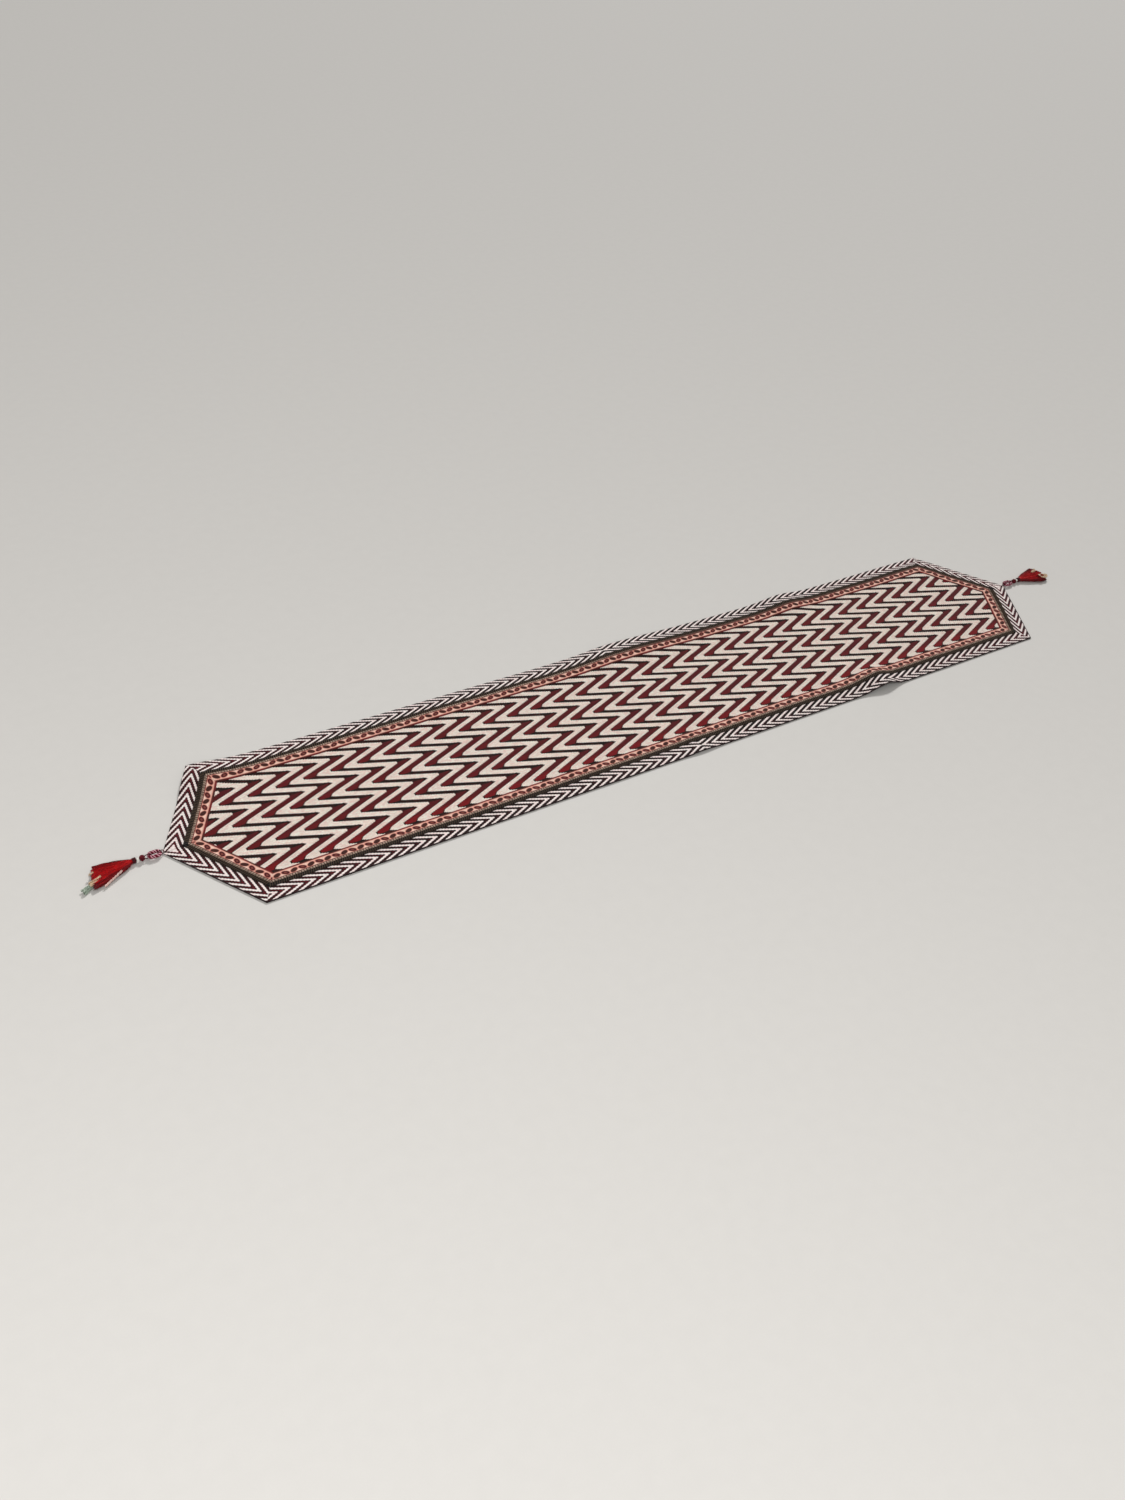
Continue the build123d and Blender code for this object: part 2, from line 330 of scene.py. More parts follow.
def make_piece(name, points, blocks, uvs, material, body, slot):
    """A mesh object from points, blocks of equal-sided faces and their corners' UVs, turned right way out."""
    points = np.asarray(points, float).reshape(-1, 3)
    if signed_volume(points - points.mean(0), blocks) < 0:
        blocks, uvs = [b[:, ::-1] for b in blocks], [u[:, ::-1] for u in uvs]
    corners = np.concatenate([b.ravel() for b in blocks]).astype(np.int32)
    sizes = np.concatenate([np.full(len(b), b.shape[1]) for b in blocks]).astype(np.int32)
    mesh = bpy.data.meshes.new(name)
    mesh.vertices.add(len(points))
    mesh.vertices.foreach_set("co", points.astype(np.float32).ravel())
    mesh.loops.add(len(corners))
    mesh.loops.foreach_set("vertex_index", corners)
    mesh.polygons.add(len(sizes))
    mesh.polygons.foreach_set("loop_start", np.concatenate([[0], np.cumsum(sizes)[:-1]]).astype(np.int32))
    mesh.polygons.foreach_set("use_smooth", np.ones(len(sizes), bool))
    mesh.update(calc_edges=True)
    layer = mesh.uv_layers.new(name="cloth")
    layer.data.foreach_set("uv", np.concatenate([u.reshape(-1, 2) for u in uvs]).astype(np.float32).ravel())
    mesh.validate()
    mesh.materials.append(material)
    piece = bpy.data.objects.new(name, mesh)
    bpy.context.scene.collection.objects.link(piece)
    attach(piece, body)
    print(name, len(sizes), "faces")
    return piece


def unit(vectors):
    """Each vector divided by its length."""
    return vectors / np.maximum(np.linalg.norm(vectors, axis=-1, keepdims=True), 1e-12)


def tube_arrays(paths, radii, beside, sides, ring=False, phase=0.0):
    """Points, faces and UVs of many tubes at once. paths is tubes x stations x 3. At each station a circle of
    that radius is drawn on two arrows square to the path: path x beside, and that x path. UV is metres along
    and round, and each tube starts 11.3 mm further round the map than the last, so that no two look alike."""
    paths = np.asarray(paths, float)
    count, stations, _ = paths.shape
    radii = np.broadcast_to(np.asarray(radii, float), (count, stations))
    ahead = np.roll(paths, -1, 1) - np.roll(paths, 1, 1) if ring else np.gradient(paths, axis=1)
    ahead = unit(ahead)
    first = unit(np.cross(ahead, np.broadcast_to(beside, paths.shape)))
    second = np.cross(ahead, first)
    angle = np.linspace(0, 2 * np.pi, sides, endpoint=False) + phase
    circle = (first[:, :, None] * np.cos(angle)[None, None, :, None]
              + second[:, :, None] * np.sin(angle)[None, None, :, None])
    points = paths[:, :, None] + circle * radii[:, :, None, None]
    i, j = grid_corners(stations, sides, wrap_rows=ring, wrap_columns=True)
    one = (i % stations) * sides + j % sides
    start = (np.arange(count) * stations * sides)[:, None, None]
    step = np.linalg.norm(np.diff(paths, axis=1, append=paths[:, :1] if ring else paths[:, -1:]), axis=-1)
    along = np.concatenate([np.zeros((count, 1)), np.cumsum(step, 1)], 1)
    around = 2 * np.pi * radii.mean() * np.arange(sides + 1) / sides
    uv = np.stack([along[:, i], around[j][None] + 0.0113 * np.arange(count)[:, None, None]], -1)
    blocks, uvs = [(one[None] + start).reshape(-1, 4)], [uv.reshape(-1, 4, 2)]
    if not ring:
        loop = np.arange(sides)
        for caps in (loop[::-1], (stations - 1) * sides + loop):
            blocks.append(caps[None] + start[:, 0])
            uvs.append(np.zeros((count, sides, 2)))
    return points.reshape(-1, 3), blocks, uvs


def joined(*parts):
    """Several sets of points, faces and UVs as one, with the face numbers moved on."""
    points, blocks, uvs, start = [], [], [], 0
    for p, b, u in parts:
        points.append(p)
        blocks += [x + start for x in b]
        uvs += u
        start += len(p)
    return np.concatenate(points), blocks, uvs


# %% [markdown]
# ## How the cloth lies
# The layers are soft and lie on a table, so they share one height. The seam under the braid is the stiffest
# and thickest line, and stands up as a low ridge. The cloth isn't quite flat either: the far edge lifts at
# mid length, a ripple crosses the near edge, and a corner curls. One function of place gives the height for
# every layer, so that they stay sewn together.

# %% Outline from the frame
outer_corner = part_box("tape_right_back")[1]
tip_x, half_width = outer_corner.x, outer_corner.y
loop_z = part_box("right_loop")[0].z + 0.0026
shoulder_x = tip_x - 0.097
point_angle = np.arctan2(half_width, tip_x - shoulder_x)
point_sine, point_cosine = np.sin(point_angle), np.cos(point_angle)
print("half length", round(tip_x, 4), "half width", round(half_width, 4), "shoulder", round(shoulder_x, 4))

seam_insets = [0, 0.020, 0.027, 0.033, 0.037, 0.046, 0.056, 0.066]
seam_heights = [0, 0.0005, 0.0009, 0.0013, 0.0012, 0.0006, 0.0001, 0]
# Each lump: its place, its height, its widths to the left and right, and its reach across the cloth.
lumps = [((0.015, half_width), 0.0068, 0.060, 0.160, 0.068),
         ((-0.005, -half_width), 0.0026, 0.026, 0.030, 0.045),
         ((0.418, -half_width), 0.0110, 0.044, 0.026, 0.070),
         ((0.428, half_width), 0.0066, 0.050, 0.040, 0.066),
         ((-shoulder_x, half_width), 0.0110, 0.050, 0.060, 0.060),
         ((shoulder_x - 0.02, half_width - 0.055), 0.0012, 0.060, 0.040, 0.030)]


def inset_at(x, y):
    """How far a place is inside the outline: the smaller of its distances to the long and slanted sides."""
    return np.minimum(half_width - np.abs(y), (tip_x - np.abs(x)) * point_sine - np.abs(y) * point_cosine)


def lump(x, y, at, high, left, right, near):
    """A soft lump: high times e to the minus (dx/width)^2, with its own width to the left and to the right,
    times e to the minus (dy/near)^4, which stays level over the sewn edge and then falls quickly."""
    dx = x - at[0]
    wide = np.where(dx < 0, left, right)
    return high * np.exp(-(dx / wide) ** 2 - ((y - at[1]) / near) ** 4)


def cloth_rise(x, y):
    """Height of the cloth's underside: the seam's ridge, the lumps, and two long shallow waves that never go
    below the table."""
    inset = inset_at(x, y)
    waves = (0.00035 * (1 + np.sin(x * 17.0 + 1.3 * np.sin(y * 9.0)))
             + 0.0003 * (1 + np.sin(x * 41.0 + y * 23.0 + 0.7)))
    return (np.interp(inset, seam_insets, seam_heights) + sum(lump(x, y, *one) for one in lumps)
            + waves * np.clip(inset / 0.03 + 0.35, 0, 1) + 0.0001)


corner_table = {
    "tip": lambda inset: (tip_x - inset / point_sine, inset * 0),
    "shoulder": lambda inset: (shoulder_x - inset * np.tan(point_angle / 2), half_width - inset),
    "middle": lambda inset: (inset * 0, half_width - inset),
}


def corner_place(stop, inset):
    """Where a corner of the outline lies, for a stop of (corner name, x sign, y sign), at the given inset."""
    name, sx, sy = stop
    x, y = corner_table[name](inset)
    return np.array([sx * x, sy * y])


def edge_strip(stops, section, counts):
    """A closed section carried along the outline. stops are (corner name, x sign, y sign), and section is a
    list of (inset, height above the cloth's underside). Between two stops each section point runs straight
    from one corner's inset point to the next, so the ends are mitred. Returns the points, each station's leg
    and the insets."""
    inset, above = np.array(section, float).T
    corners = np.array([corner_place(stop, inset) for stop in stops])
    stations, legs = [], []
    for leg, count in enumerate(counts):
        share = np.linspace(0, 1, count + 1)[(leg > 0):, None, None]
        stations.append(corners[leg].T[None] * (1 - share) + corners[leg + 1].T[None] * share)
        legs += [leg] * count
    place = np.concatenate(stations)
    points = np.concatenate([place, (cloth_rise(place[..., 0], place[..., 1]) + above)[..., None]], -1)
    return points, np.array(legs), inset


# %% [markdown]
# ## The zigzag panel
# The middle is a hand-woven panel. Its zigzag is built from wrapped rows: each row is set over from the last,
# four millimetres further right for eighteen rows, then back. Arms that fall to the right are thin and black,
# arms that fall to the left are broad and wine red with a black lower edge, and the ground is cream. The
# pattern is drawn by the material from the cloth's own metres, so it bends with the cloth and stays sharp.


# %% Panel material
def draw_zigzag(tree):
    """Row number q is the distance down the cloth over 1.6 mm. The middle of the dark part goes to and fro
    with q as a triangle wave, cut off at both turns. Its half width is 10 mm on thin arms and 13 mm on broad
    ones. All lengths are millimetres, and the pattern repeats every 2 x 23.65 mm along and 36 rows across."""
    row_height, half_repeat, rows_per_arm, soft = 1.595, 23.65, 18.0, 0.5
    x, y = uv_millimetres(tree)
    down = (66.4 - y) / row_height
    q = calc("FLOOR", down + 0.5)
    triangle = calc("PINGPONG", q - 0.45, rows_per_arm)
    middle = calc("MINIMUM", calc("MAXIMUM", triangle * 3.878 - 1.8, 4.6), 63.0)
    broad = rises(calc("PINGPONG", q - 9.45, rows_per_arm), 8.1, 4.5)
    half = 3.2 * broad + 10.0
    across = calc("WRAP", x + (16.8 - 3.2 * broad) - middle, half_repeat, -half_repeat)
    right_part = across + (down - q) * (3.9 * broad - 1.2)
    inside = rises(across + half, 0.0, soft) * (1 - rises(right_part - half, 0.0, soft))
    wine_rows = rises(calc("PINGPONG", q - 10.8, rows_per_arm), 8.1, 0.2)
    left_turn, right_turn = calc("LESS_THAN", triangle, 3.6), calc("GREATER_THAN", triangle, 15.2)
    left_edge = left_turn * (1 - rises(across + half, 2.4, 1.6))
    right_edge = rises(right_part - half + (4.0 * right_turn + 2.6), 0.0, 1.6)
    black = calc("MAXIMUM", 1 - wine_rows, calc("MAXIMUM", left_edge, 0.85 * right_edge))
    stitches = place_group(tree, woven_stitches, Along=x - middle, Across=(down + 0.5) * row_height,
                           Row=row_height, Stitch=3.9, Slant=3.4 * wine_rows - 1.4, Stagger=0.0)
    lot = chance(stitches["Stitch number"])
    near_edge = 1 - rises(y, -98.0, 8.0)
    wine = mixed(calc("MAXIMUM", 0.30 * left_turn, 0.85 * near_edge), dye(98, 18, 24), dye(150, 14, 24))
    wine = mixed(0.45 * lot, wine, dye(74, 16, 18))
    black_dye = mixed(rises(lot, 0.72, 0.1), dye(24, 14, 8), dye(62, 20, 16))
    cream = mixed(0.8 * lot, dye(255, 248, 234), dye(246, 208, 196))
    colour = mixed(inside, cream, mixed(black, wine, black_dye))
    # The furrows between stitches get painted shade, deeper in the cream ground.
    return painted_furrow_shade(stitches["Gap"], colour, 0.24 * inside + 0.16), stitches["Height"]


zigzag_wool = cloth_material("zigzag_wool", draw_zigzag, sheen=0.0, depth=0.0006, wander=0.18, patch=0.10)


# %% Flat cloths
def pointed_cloth(name, inset, low, high, columns, rows, material, slot, node):
    """A closed flat bag of cloth with the runner's pointed outline. Each station along x has a closed
    section: the top goes from one edge to the other and the underside comes back. Half width is the inset
    outline's at that x. Returns the piece, its flat sides and its area."""
    end, shoulder = tip_x - inset / point_sine, shoulder_x - inset * np.tan(point_angle / 2)
    blunt, point_columns = 0.0006, 28
    x = np.unique(np.concatenate([np.linspace(-end + blunt, -shoulder, point_columns),
                                  np.linspace(-shoulder, shoulder, columns),
                                  np.linspace(shoulder, end - blunt, point_columns)]))
    half = np.minimum(half_width - inset, (end - np.abs(x)) * np.tan(point_angle))
    top = np.linspace(-1, 1, rows)
    share = np.concatenate([top, top[::-2][1:-1]])
    round_edge = np.where(np.abs(share) > 0.9999, 0.5, 1.0)
    upper = np.arange(len(share)) < rows
    above = np.where(upper, high, low) * round_edge + (low + high) / 2 * (1 - round_edge)
    y = half[:, None] * share[None]
    xx = np.broadcast_to(x[:, None], y.shape)
    points = np.stack([xx, y, cloth_rise(xx, y) + above[None]], -1)
    i, j, blocks = strip_faces(*y.shape)
    flat = points[..., :2]
    uvs = [flat[i, j], flat[[0]][:, ::-1], flat[[-1]]]
    piece = make_piece(name, points, blocks, uvs, material, "runner", slot)
    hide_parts(node)
    area = 4 * (half_width - inset) * shoulder + 2 * (half_width - inset) * (end - shoulder)
    return piece, (2 * (half_width - inset), 2 * end), area


panel, panel_flat, panel_area = pointed_cloth("zigzag_panel", 0.031, 0.0006, 0.0020, 380, 61, zigzag_wool,
                                              "panel_weave", "centre_panel")


# %% [markdown]
# ## The lining
# Under everything is one piece of plain dark cotton in an even weave of half-millimetre yarns. It is cut two
# millimetres smaller than the edge and slip-stitched to the tape all round, and it only shows when the
# runner is turned over or an edge lifts.

# %% Lining
plain_cotton = cloth_material("plain_cotton", thread_drawer(dye(52, 30, 30), None, 0.55, 1.1, 0.0, 0.5, 0.45),
                              depth=0.00015, wander=0.12)
lining, lining_flat, lining_area = pointed_cloth("lining_cloth", 0.002, 0.0, 0.0006, 300, 31, plain_cotton,
                                                 "lining_cotton", "lining")


# %% [markdown]
# ## The chevron tape
# The edge is a tape woven on cards: fourteen ribs side by side, each a cord of slanted stitches, so that
# stripes meet at the tape's centre line as arrowheads. The arrowheads point away from the tips, so the tape
# is in four lengths that fold at the shoulders and meet at the tips and at mid length. The UV map holds the
# distance along each leg and across the tape.


# %% Tape material
def draw_chevrons(tree):
    """The stripe number is the distance along plus 2.28 times the distance from the centre line, divided by
    20 mm. The first eight millimetres are white, and the rest is black with a wine core, strongest near the
    arrowhead and the tips. On the right half, ribs further back than the centre line have less white: a
    painted shade."""
    centre, rib_width, slope, repeat = 13.5, 1.93, 2.28, 20.0
    far_rib, half_length, rib_edge = 0.1565, 0.78, 0.001
    along, inset = uv_millimetres(tree)
    x, y = object_place(tree)
    off_centre = calc("ABSOLUTE", inset - centre)
    rib = calc("FLOOR", off_centre / rib_width) * rib_width
    place = (0.5 * rib + 0.5 * off_centre) * slope + along
    stripe = calc("WRAP", place, repeat, 0.0)
    stitches = place_group(tree, woven_stitches, Along=off_centre * slope + along, Across=off_centre,
                           Row=rib_width, Stitch=4.0, Slant=-0.9, Stagger=0.0)
    back_ribs = calc("MAXIMUM", rises(y, far_rib, rib_edge), within(y, -far_rib, 0.0, rib_edge))
    # Painted shade: on the right half the further-back ribs get a narrower white stripe.
    thin = back_ribs * within(x, 0.0, half_length, 0.02)
    white = 1 - within(2.4 * thin + stripe, 7.9, 19.5, 0.5)
    tip_patch = rises(along, -9.0, 0.5) * (1 - rises(place, 11.5, 0.5))
    near_tips = rises(calc("ABSOLUTE", x), 0.62, 0.24)
    core = within(stripe, 11.2, 17.4, 1.4) * (1 - 0.065 * off_centre) * (0.75 * near_tips + 0.25)
    dark = mixed(core, dye(20, 11, 9), dye(92, 16, 26))
    pale = mixed(chance(stitches["Stitch number"]), dye(255, 246, 240), dye(248, 226, 222))
    # A dark selvedge 0.4 mm wide runs all round; on the near side it widens to 1.9 mm as a painted shadow
    # under the edge.
    near_side_shadow = 1 - rises(y, -0.022, 0.016)
    selvedge_and_painted_shadow = 1 - rises(inset, 1.5 * near_side_shadow + 0.4, 0.6)
    colour = mixed(selvedge_and_painted_shadow, mixed(calc("MAXIMUM", white, tip_patch), dark, pale), dye(34, 16, 18))
    # The furrows between stitches get painted shade.
    return painted_furrow_shade(stitches["Gap"], colour, 0.14), stitches["Height"]


chevron_wool = cloth_material("chevron_wool", draw_chevrons, sheen=0.0, depth=0.0004, wander=0.14, patch=0.10)

# %% Tape lengths
tape_section = ([(d, 0.0020) for d in np.linspace(0.0305, 0.0009, 15)]
                + [(0.0003, 0.0018), (0.0, 0.0013), (0.0002, 0.0008)]
                + [(d, 0.0006) for d in np.linspace(0.0009, 0.0305, 6)])
for end_name, sx in (("left", -1), ("right", 1)):
    for side_name, sy, pitch_fit in (("back", 1, 0.9953), ("front", -1, 0.986)):
        stops = [("tip", sx, sy), ("shoulder", sx, sy), ("middle", sx, sy)]
        points, legs, inset = edge_strip(stops, tape_section, (44, 200))
        n, m, _ = points.shape
        i, j, blocks = strip_faces(n, m)
        leg_way = unit(np.array([sx * (shoulder_x - tip_x), sy * half_width]))
        from_tip = (points[..., :2] - [sx * tip_x, 0.0]) @ leg_way - 0.0077
        from_middle = -np.abs(points[..., 0] + 0.0017) * pitch_fit - 0.012
        along = np.where((legs == 0)[i[:, 0]][:, None], from_tip[i, j], from_middle[i, j])
        uvs = [np.stack([along, inset[j]], -1), *no_end_uvs(m)]
        name = f"tape_{end_name}_{side_name}"
        piece = make_piece("chevron_" + name, points, blocks, uvs, chevron_wool, "runner", "chevron_tape")
        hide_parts(name)

# %% [markdown]
# ## The patterned ribbon
# A narrow ribbon lies inside the tape. From its outer edge inwards it has a row of small tan loops, a thin
# dark red line, a pale ground with a row of dark ovals that lean by turns, and a dark inner edge.


# %% Ribbon material
def draw_ovals(tree):
    """Ovals are drawn by the distance (s/a)^2 + ((t - lean s)/b)^2 from the nearest oval's centre, 13.6 mm
    apart. Every second one leans the other way, so that pale triangles point up and down between them."""
    spacing, centre, half_long, half_high = 13.6, 10.3, 5.8, 4.1
    along, t = uv_millimetres(tree)
    x, y = object_place(tree)
    number = calc("FLOOR", along / spacing)
    odd = calc("WRAP", number, 2.0, 0.0)
    s = along - number * spacing - spacing / 2
    up = t - centre - s * (0.3 - 0.6 * odd)
    size = (s / half_long) * (s / half_long) + (up / half_high) * (up / half_high)
    oval, near_oval = 1 - rises(size, 1.0, 0.25), 1 - rises(size, 1.55, 0.5)
    oval_dye = mixed(0.4 * chance(number), mixed(odd, dye(70, 30, 20), dye(84, 14, 18)), dye(50, 16, 14))
    oval_dye = mixed((1 - rises(size, 0.18, 0.2)) * (0.25 * odd), oval_dye, dye(214, 120, 100))
    salmon = calc("MAXIMUM", near_oval, rises(t, 16.0, 2.0))
    colour = mixed(oval, mixed(salmon, dye(250, 212, 192), dye(226, 148, 130)), oval_dye)
    on_loop = rises(calc("PINGPONG", along, 2.3), 0.8, 0.7)
    # Painted shadow: at the back right the row of loops is darkened, where the braid's ridge shades it from
    # the sun.
    painted_braid_shadow = rises(x, 0.0, 0.2) * rises(y, 0.0, 0.1)
    loop_dye = mixed(on_loop, dye(96, 74, 62), mixed(painted_braid_shadow, dye(196, 168, 150), dye(104, 64, 56)))
    outer = 1 - rises(t, 4.2, 0.5)
    colour = mixed(outer, colour, loop_dye)
    colour = mixed(within(t, 4.0, 5.3, 0.4), colour, dye(118, 30, 30))
    crimson = 0.5 * calc("SINE", 0.1327 * along) + 0.5
    colour = mixed(rises(t, 17.4, 0.6), colour, mixed(crimson, dye(70, 30, 22), dye(124, 30, 32)))
    stitches = place_group(tree, woven_stitches, Along=along, Across=t, Row=1.15, Stitch=1.5, Slant=0.5,
                           Stagger=0.5)
    relief = 0.5 * oval + 0.8 * stitches["Height"] + 0.9 * (outer * on_loop)
    # The furrows between stitches get painted shade.
    return painted_furrow_shade(stitches["Gap"], colour, 0.22), relief


ribbon_weave = cloth_material("ribbon_weave", draw_ovals, depth=0.0004, wander=0.20, patch=0.12)

# %% [markdown]
# ## The black braid
# The braid is two black cords side by side, held by a thin olive brown thread that crosses them every 3.6 mm.
# Two round bumps make the section of the cords. The crossing threads are real little arches, a few faces
# each, because their light edges are what the eye sees.

# %% Braid materials
black_cord = cloth_material("black_braid_cord",
                            thread_drawer(dye(24, 18, 15), None, 3.75, 1.6, 0.55, 0.5, 0.5),
                            depth=0.0004, wander=0.25)
olive_thread = cloth_material("braid_crossing_thread",
                              thread_drawer(dye(104, 84, 66), None, 0.9, 0.7, 0.8, 0.5, 0.3),
                              depth=0.0001, wander=0.3)


# %% Ribbons and braids
def slab(stops, section, count, along_of):
    """One leg of a closed section: points, faces and UVs, which are metres along the leg and the inset from
    the section's outer side."""
    points, _, inset = edge_strip(stops, section, (count,))
    n, m, _ = points.shape
    i, j, blocks = strip_faces(n, m)
    uv = np.stack([along_of(points)[i, j], (inset - inset.min())[j]], -1)
    return points.reshape(-1, 3), blocks, [uv, *no_end_uvs(m)]


def side_line(one, other):
    """One side of the outline: its first corner, its direction, its length, and 1 or -1 as inwards lies to
    the left or to the right of that direction."""
    first, last = corner_place(one, 0.0), corner_place(other, 0.0)
    way = unit(last - first)
    return first, way, np.linalg.norm(last - first), 1 if way[1] * first[0] > way[0] * first[1] else -1


ribbon_section = ([(d, 0.0028) for d in np.linspace(0.0549, 0.0350, 12)] + [(0.0347, 0.0024)]
                  + [(d, 0.0020) for d in np.linspace(0.0349, 0.0550, 5)] + [(0.0552, 0.0024)])
bump = np.linspace(0, np.pi, 6)[1:-1]
first_cord, second_cord = [[(middle - 0.0017 * np.cos(a), 0.0021 + 0.0014 * np.sin(a)) for a in bump]
                           for middle in (0.02885, 0.03265)]
braid_section = [(0.0270, 0.0020)] + first_cord + [(0.03075, 0.0025)] + second_cord + [(0.0345, 0.0020)]
arch_insets = np.array([0.0271, 0.0277, 0.0289, 0.0308, 0.0327, 0.0341, 0.0352, 0.0371, 0.0386])
arch_heights = np.array([2.2, 3.3, 3.75, 3.5, 3.75, 3.2, 3.0, 3.1, 2.75]) / 1000
ribbon_width, oval_spacing, braid_pitch, corner_room = 0.0205, 0.0136, 0.0036, 0.0274
back_and_front = (("back", 1), ("front", -1))
sides = [(f"{end_name}_{side_name}", ("tip", sx, sy), ("shoulder", sx, sy))
         for end_name, sx in (("left", -1), ("right", 1)) for side_name, sy in back_and_front]
sides += [(side_name, ("shoulder", -1, sy), ("shoulder", 1, sy)) for side_name, sy in back_and_front]
for name, one, other in sides:
    first, way, length, turn_sign = side_line(one, other)
    is_long, count = length > 1, int(length / 0.0045)
    measure = lambda p: (p[..., :2] - first) @ way
    # The ovals are stretched a little, so that a whole number of them fits between the mitred corners.
    start = corner_room if is_long else 0.0269
    room = length - corner_room - start
    fit = round(room / oval_spacing) * oval_spacing / room
    whole = lambda p: 0.0272 + (measure(p) - start) * fit
    ribbon = make_piece("patterned_ribbon_" + name, *slab((one, other), ribbon_section, count, whole),
                        ribbon_weave, "runner", "motif_ribbon")
    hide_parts("ribbon_" + name)
    ribbon_width * float(length) * (0.97 if is_long else 0.72)
    braid = make_piece("braid_cords_" + name, *slab((one, other), braid_section, count, measure),
                       black_cord, "runner", "black_gimp")
    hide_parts("gimp_" + name)
    steps = np.arange(0.018 if is_long else 0.0250, length - 0.020, braid_pitch)
    inward = np.array([-way[1], way[0]]) * turn_sign
    place = (first + steps[:, None, None] * way + arch_insets[None, :, None] * inward
             + 0.3 * turn_sign * (arch_insets - 0.0308)[None, :, None] * way)
    height = cloth_rise(place[..., 0], place[..., 1]) + arch_heights[None]
    arches = tube_arrays(np.concatenate([place, height[..., None]], -1), 0.00042, [*way, 0.0], 5)
    make_piece("braid_crossings_" + name, *arches, olive_thread, "runner", "black_gimp")

# %% [markdown]
# ## Slip stitches under the edge
# The lining is sewn to the tape with small slanted stitches all round, seen only from below and along a
# lifted edge.

# %% Slip stitches
sewing_thread = cloth_material("sewing_thread", thread_drawer(dye(92, 34, 40), None, 1.4, 0.9, 0.9, 0.5, 0.3),
                               roughness=0.6, depth=0.0001, wander=0.1)
share = np.linspace(0, 1, 5)
stitch_sets = []
for _, one, other in sides:
    first, way, length, turn_sign = side_line(one, other)
    inward = np.array([-way[1], way[0]]) * turn_sign
    steps = np.arange(0.008, length - 0.006, 0.0065)
    place = (first + steps[:, None, None] * way + (0.0004 + 0.0036 * share)[None, :, None] * inward
             + 0.0022 * share[None, :, None] * way)
    height = cloth_rise(place[..., 0], place[..., 1]) + (0.0007 - 0.0008 * np.sin(np.pi * share) ** 0.5)[None]
    paths = np.concatenate([place, np.maximum(height, 0.00025)[..., None]], -1)
    stitch_sets.append(tube_arrays(paths, 0.00022, [*way, 0.0], 4))
make_piece("slip_stitches", *joined(*stitch_sets), sewing_thread, "runner", "sewing_thread")

# %% [markdown]
# ## Loops, knots and bindings
# At each point hangs a closed loop of cord, twisted from wine and pale pink strands, then a knot of dark red
# yarn, a white bead and a binding of dark thread that ties the skirt. Each strand is its own tube that goes
# round the loop's centre line.

# %% Yarn materials
wine_strand, pink_strand, knot_yarn, blush_yarn, cream_yarn, grey_yarn = [
    cloth_material(name, thread_drawer(dye(*light), dye(*deep)), depth=depth)
    for name, light, deep, depth in (
        ("wine_strand", (120, 20, 44), (84, 12, 30), 0.0002),
        ("pale_pink_strand", (240, 190, 200), (214, 140, 156), 0.0002),
        ("knot_yarn", (128, 14, 34), (74, 10, 20), 0.0003),
        ("blush_yarn", (244, 214, 204), (206, 164, 154), 0.0002),
        ("cream_yarn", (238, 214, 186), (196, 164, 124), 0.0002),
        ("grey_green_yarn", (186, 198, 180), (132, 148, 132), 0.0002))]
binding_thread = cloth_material("binding_thread", thread_drawer(dye(96, 14, 24), dye(36, 10, 14), 0.6, 0.5),
                                roughness=0.7, depth=0.0001)
# The second red is the first one darkened: a painted shade for the skirt's side strands.
red_wool, red_wool_painted_shade = [
    cloth_material(name, thread_drawer(light, deep, 0.9, 9.0), depth=0.0001, sheen=0.08, patch=0.25)
    for name, light, deep in (("red_wool", dye(206, 4, 12), dye(140, 2, 8)),
                              ("red_wool_painted_shade", dye(138, 6, 16), dye(78, 4, 10)))]
print(len(bpy.data.materials), "materials")


# %% Loops and knots
def stadium(share, centre_near, centre_far, radius, z):
    """A closed line round two points: a half circle, a straight, a half circle, a straight, by its share of
    the length."""
    straight = centre_far - centre_near
    s = share * (2 * straight + 2 * np.pi * radius)
    a, b, c = np.pi * radius, np.pi * radius + straight, 2 * np.pi * radius + straight
    parts, near_turn, far_turn = [s < a, s < b, s < c], s / radius, (s - b) / radius
    x = np.select(parts, [centre_near - radius * np.sin(near_turn), centre_near + (s - a),
                          centre_far + radius * np.sin(far_turn)], centre_far - (s - c))
    y = np.select(parts, [radius * np.cos(near_turn), -radius + 0 * s, -radius * np.cos(far_turn)],
                  radius + 0 * s)
    return np.stack([x, y, z + 0 * s], -1)


def twisted_ring(sx, which, lay_radius, strand_radius):
    """Some of the ring's five strands, wound round its line: each is offset by lay_radius, at an angle that
    grows by five full turns."""
    strand_count, turns = 5, 5
    share = np.linspace(0, 1, 150, endpoint=False)
    line = stadium(share, 0.9000, 0.9073, 0.0050, loop_z)
    ahead = unit(np.roll(line, -1, 0) - np.roll(line, 1, 0))
    outward = np.cross(ahead, upright)
    angle = 2 * np.pi * (turns * share[None] + (np.array(which) / strand_count)[:, None])
    offset = np.cos(angle)[..., None] * outward + np.sin(angle)[..., None] * np.array(upright)
    paths = (line + lay_radius * offset) * [sx, 1, 1]
    return tube_arrays(paths, strand_radius, np.cross(ahead, offset) * [sx, 1, 1], 8, ring=True)


